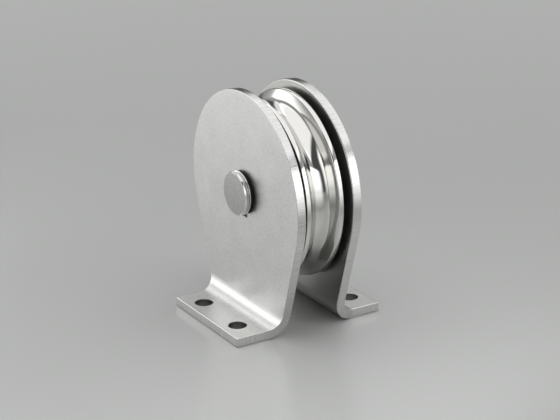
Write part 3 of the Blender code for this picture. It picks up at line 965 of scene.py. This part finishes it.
# %% [markdown]
# ## Inside the bearing
#
# The bearing's rings, shields, cage and balls, and the key, keep their packed forms, because they show only
# through narrow gaps, if at all. They get their steels: ground for rings and balls, plainer for the shields
# and the cage, which are pressed from sheet.

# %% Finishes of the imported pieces
bearing_steel = turned_finish("bearing_steel", (0.66, 0.66, 0.66), 0.12, 0.04, 0.3 * MM, 0.001 * MM)
packed_finishes = {name: bearing_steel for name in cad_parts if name.startswith("bearing_")}
for name in ("front_bearing_shield", "rear_bearing_shield", "bearing_cage"):
    packed_finishes[name] = spring_steel
packed_finishes["axle_key"] = turned_steel
for name, material in packed_finishes.items():
    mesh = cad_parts[name].data
    mesh.materials.clear()
    mesh.materials.append(material)
print(len(packed_finishes), "packed pieces have a finish")

# %% [markdown]
# ## Floor
#
# Polished steel shows the room that it stands in, so the room is part of the look. The floor is one wide,
# plain, pale sheet with a satin finish, in which the feet show a soft reflection. One tone all over would
# do. Here a painted shade darkens it round the object and fades out with the distance, so that the groove
# and the lower edges mirror a darker floor while the background stays pale.

# %% Floor
FLOOR_HALF = 15
# The near tone is a painted shade round the object. The far tone is the pale floor.
NEAR_PAINTED_SHADE_TONE, FAR_TONE = (0.45, 0.457, 0.45), (0.62, 0.63, 0.62)
NEAR_REACH, FAR_REACH = 0.15, 1.0
FLOOR_ROUGHNESS = 0.25


def satin_floor_with_painted_shade():
    """A satin floor with a painted shade round the object: its tone rises with the distance, between the near
    and far reach.
    """
    material, tree, shader = new_finish("satin_floor_with_painted_shade", NEAR_PAINTED_SHADE_TONE, FLOOR_ROUGHNESS, metallic=0)
    place = node(tree, "TexCoord").outputs["Object"]
    distance = node(tree, "VectorMath", {0: place}, operation="LENGTH").outputs["Value"]
    share = remap(tree, distance, 0, 1, NEAR_REACH, FAR_REACH)
    tree.links.new(grey_between(tree, share, NEAR_PAINTED_SHADE_TONE, FAR_TONE), shader.inputs["Base Color"])
    return material


floor_corners = [(x * FLOOR_HALF, y * FLOOR_HALF, 0) for x, y in ((-1, -1), (1, -1), (1, 1), (-1, 1))]
floor_mesh = bpy.data.meshes.new("floor")
floor_mesh.from_pydata(floor_corners, [], [(0, 1, 2, 3)])
floor_mesh.materials.append(satin_floor_with_painted_shade())
thing = bpy.data.objects.new("floor", floor_mesh)
bpy.context.scene.collection.objects.link(thing)
print("floor of", 2 * FLOOR_HALF, "by", 2 * FLOOR_HALF, "metres")

# %% [markdown]
# ## Studio light
#
# The lamps are softboxes: flat lamps behind cloth, brightest in the middle. The camera doesn't see them,
# but the steel does. Point lamps would light it too, but they would show in it as dots, while a flat one
# shows as a broad band. Each lamp's brightness is given as a mirror shows it, where 1 is plain white, and
# its power follows from its size.

# %% Softboxes
CEILING_FADE = (0.1, 0.1, 0.1)


def fade_edges(lamp, fade):
    """Lets a lamp's light fall off towards its edges, as cloth over a real softbox does.

    The lamp's own coordinates u and v run from 0 to 1. The light is smooth(u) * smooth(1 - u) * smooth(v) *
    smooth(1 - v), where smooth rises from 0 to 1 over a share of the lamp: fade gives the shares at the
    sides, at the bottom and at the top.
    """
    lamp.use_nodes = True
    tree = lamp.node_tree
    place = node(tree, "SeparateXYZ", {0: node(tree, "NewGeometry").outputs["Parametric"]}).outputs
    sides, bottom, top = fade
    light = 1
    for coordinate, dark, full in (("X", 0, sides), ("X", 1, 1 - sides), ("Y", 0, bottom), ("Y", 1, 1 - top)):
        limits = {"Value": place[coordinate], "From Min": dark, "From Max": full}
        ramp = node(tree, "MapRange", limits, interpolation_type="SMOOTHSTEP").outputs["Result"]
        light = node(tree, "Math", {0: light, 1: ramp}, operation="MULTIPLY").outputs[0]
    tree.links.new(light, tree.nodes["Emission"].inputs["Strength"])


def softbox(name, place, facing, size, brightness, fade):
    """A rectangular lamp at a place, turned to a point.

    A flat lamp that shines evenly all over sends out power = pi * brightness * area.
    """
    lamp = bpy.data.lights.new(name, "AREA")
    lamp.shape = "RECTANGLE"
    lamp.size, lamp.size_y = size
    lamp.energy = pi * brightness * size[0] * size[1]
    fade_edges(lamp, fade)
    thing = bpy.data.objects.new(name, lamp)
    bpy.context.scene.collection.objects.link(thing)
    thing.location = place
    thing.rotation_euler = (place - facing).to_track_quat("Z", "Y").to_euler()
    return thing


def upright(name, azimuths, distance, heights, brightness, fade):
    """An upright softbox between two compass angles, in degrees, and between two heights."""
    middle = radians(sum(azimuths) / 2)
    width = 2 * distance * tan(radians(azimuths[1] - azimuths[0]) / 2)
    place = direction(middle, 0) * distance + Vector((0, 0, sum(heights) / 2))
    size = (width, heights[1] - heights[0])
    return softbox(name, place, Vector((0, 0, place.z)), size, brightness, fade)


# %% [markdown]
# One large lamp hangs over the object, a little beyond it, with its long side across the camera's view. Five
# stand round it a few metres away. They light the blasted faces evenly, and their borders draw the long
# bands in the groove. Four small ones stand close by, as cards and small boxes do in a studio, to brighten
# one edge or lift one shadow. The dark line in the groove is what lies between the lamp overhead and the
# card on the right: nothing but the dim room.

# %% Lamp overhead
CEILING_HEIGHT = 3.8
CEILING_SIZE = (9.6, 7.2)
CEILING_BEYOND = 0.96
CEILING_BRIGHTNESS = 1.2
ceiling_place = Vector((0, 0, CEILING_HEIGHT)) - direction(CAMERA_AZIMUTH, 0) * CEILING_BEYOND
below_it = ceiling_place * Vector((1, 1, 0))
ceiling = softbox("ceiling_softbox", ceiling_place, below_it, CEILING_SIZE, CEILING_BRIGHTNESS, CEILING_FADE)
ceiling.rotation_euler = (0, 0, CAMERA_AZIMUTH)
print("lamp overhead of", CEILING_SIZE, "metres")

# %% Lamps round the object
# Each row is a name, two compass angles, a distance, two heights, a brightness, and the shares over which
# the light fades at the sides, at the bottom and at the top.
FAR_LAMPS = (
    ("back_right_softbox", (104, 164), 2.4, (0.0, 3.0), 0.35, (0.35, 0.15, 0.15)),
    ("back_softbox", (156, 222), 3.4, (0.0, 3.2), 0.6, (0.1, 0.1, 0.1)),
    ("back_left_softbox", (226, 280), 3.4, (1.5, 4.0), 0.95, (0.1, 0.2, 0.1)),
    ("left_softbox", (265, 358), 3.2, (0.0, 3.4), 0.26, (0.1, 0.1, 0.1)),
    ("low_left_softbox", (285, 358), 3.1, (0.0, 1.7), 1.6, (0.1, 0.1, 0.25)),
)
NEAR_LAMPS = (
    ("front_right_softbox", (6, 54), 0.40, (0.0, 0.42), 1.6, (0.5, 0.3, 0.3)),
    ("right_card", (64, 150), 0.20, (0.0, 0.195), 1.8, (0.35, 0.7, 0.06)),
    ("near_left_softbox", (272, 345), 0.30, (0.0, 0.3), 0.35, (0.3, 0.3, 0.3)),
    ("low_left_card", (280, 335), 0.22, (0.0, 0.1), 0.12, (0.3, 0.1, 0.5)),
)
for row in FAR_LAMPS + NEAR_LAMPS:
    upright(*row)
print(len(FAR_LAMPS), "far lamps and", len(NEAR_LAMPS), "near ones")

# %% [markdown]
# ## Room and last steps
#
# The world is the dim room beyond the lamps, a dark grey that keeps shadows from turning black. The view
# transform Standard shows each colour as it is, without the curve of a film.

# %% Room and the view transform
ROOM_TONE = (0.09, 0.09, 0.09)
world = bpy.data.worlds.new("studio")
bpy.context.scene.world = world
world.use_nodes = True
world.node_tree.nodes["Background"].inputs["Color"].default_value = (*ROOM_TONE, 1)
bpy.context.scene.view_settings.view_transform = "Standard"
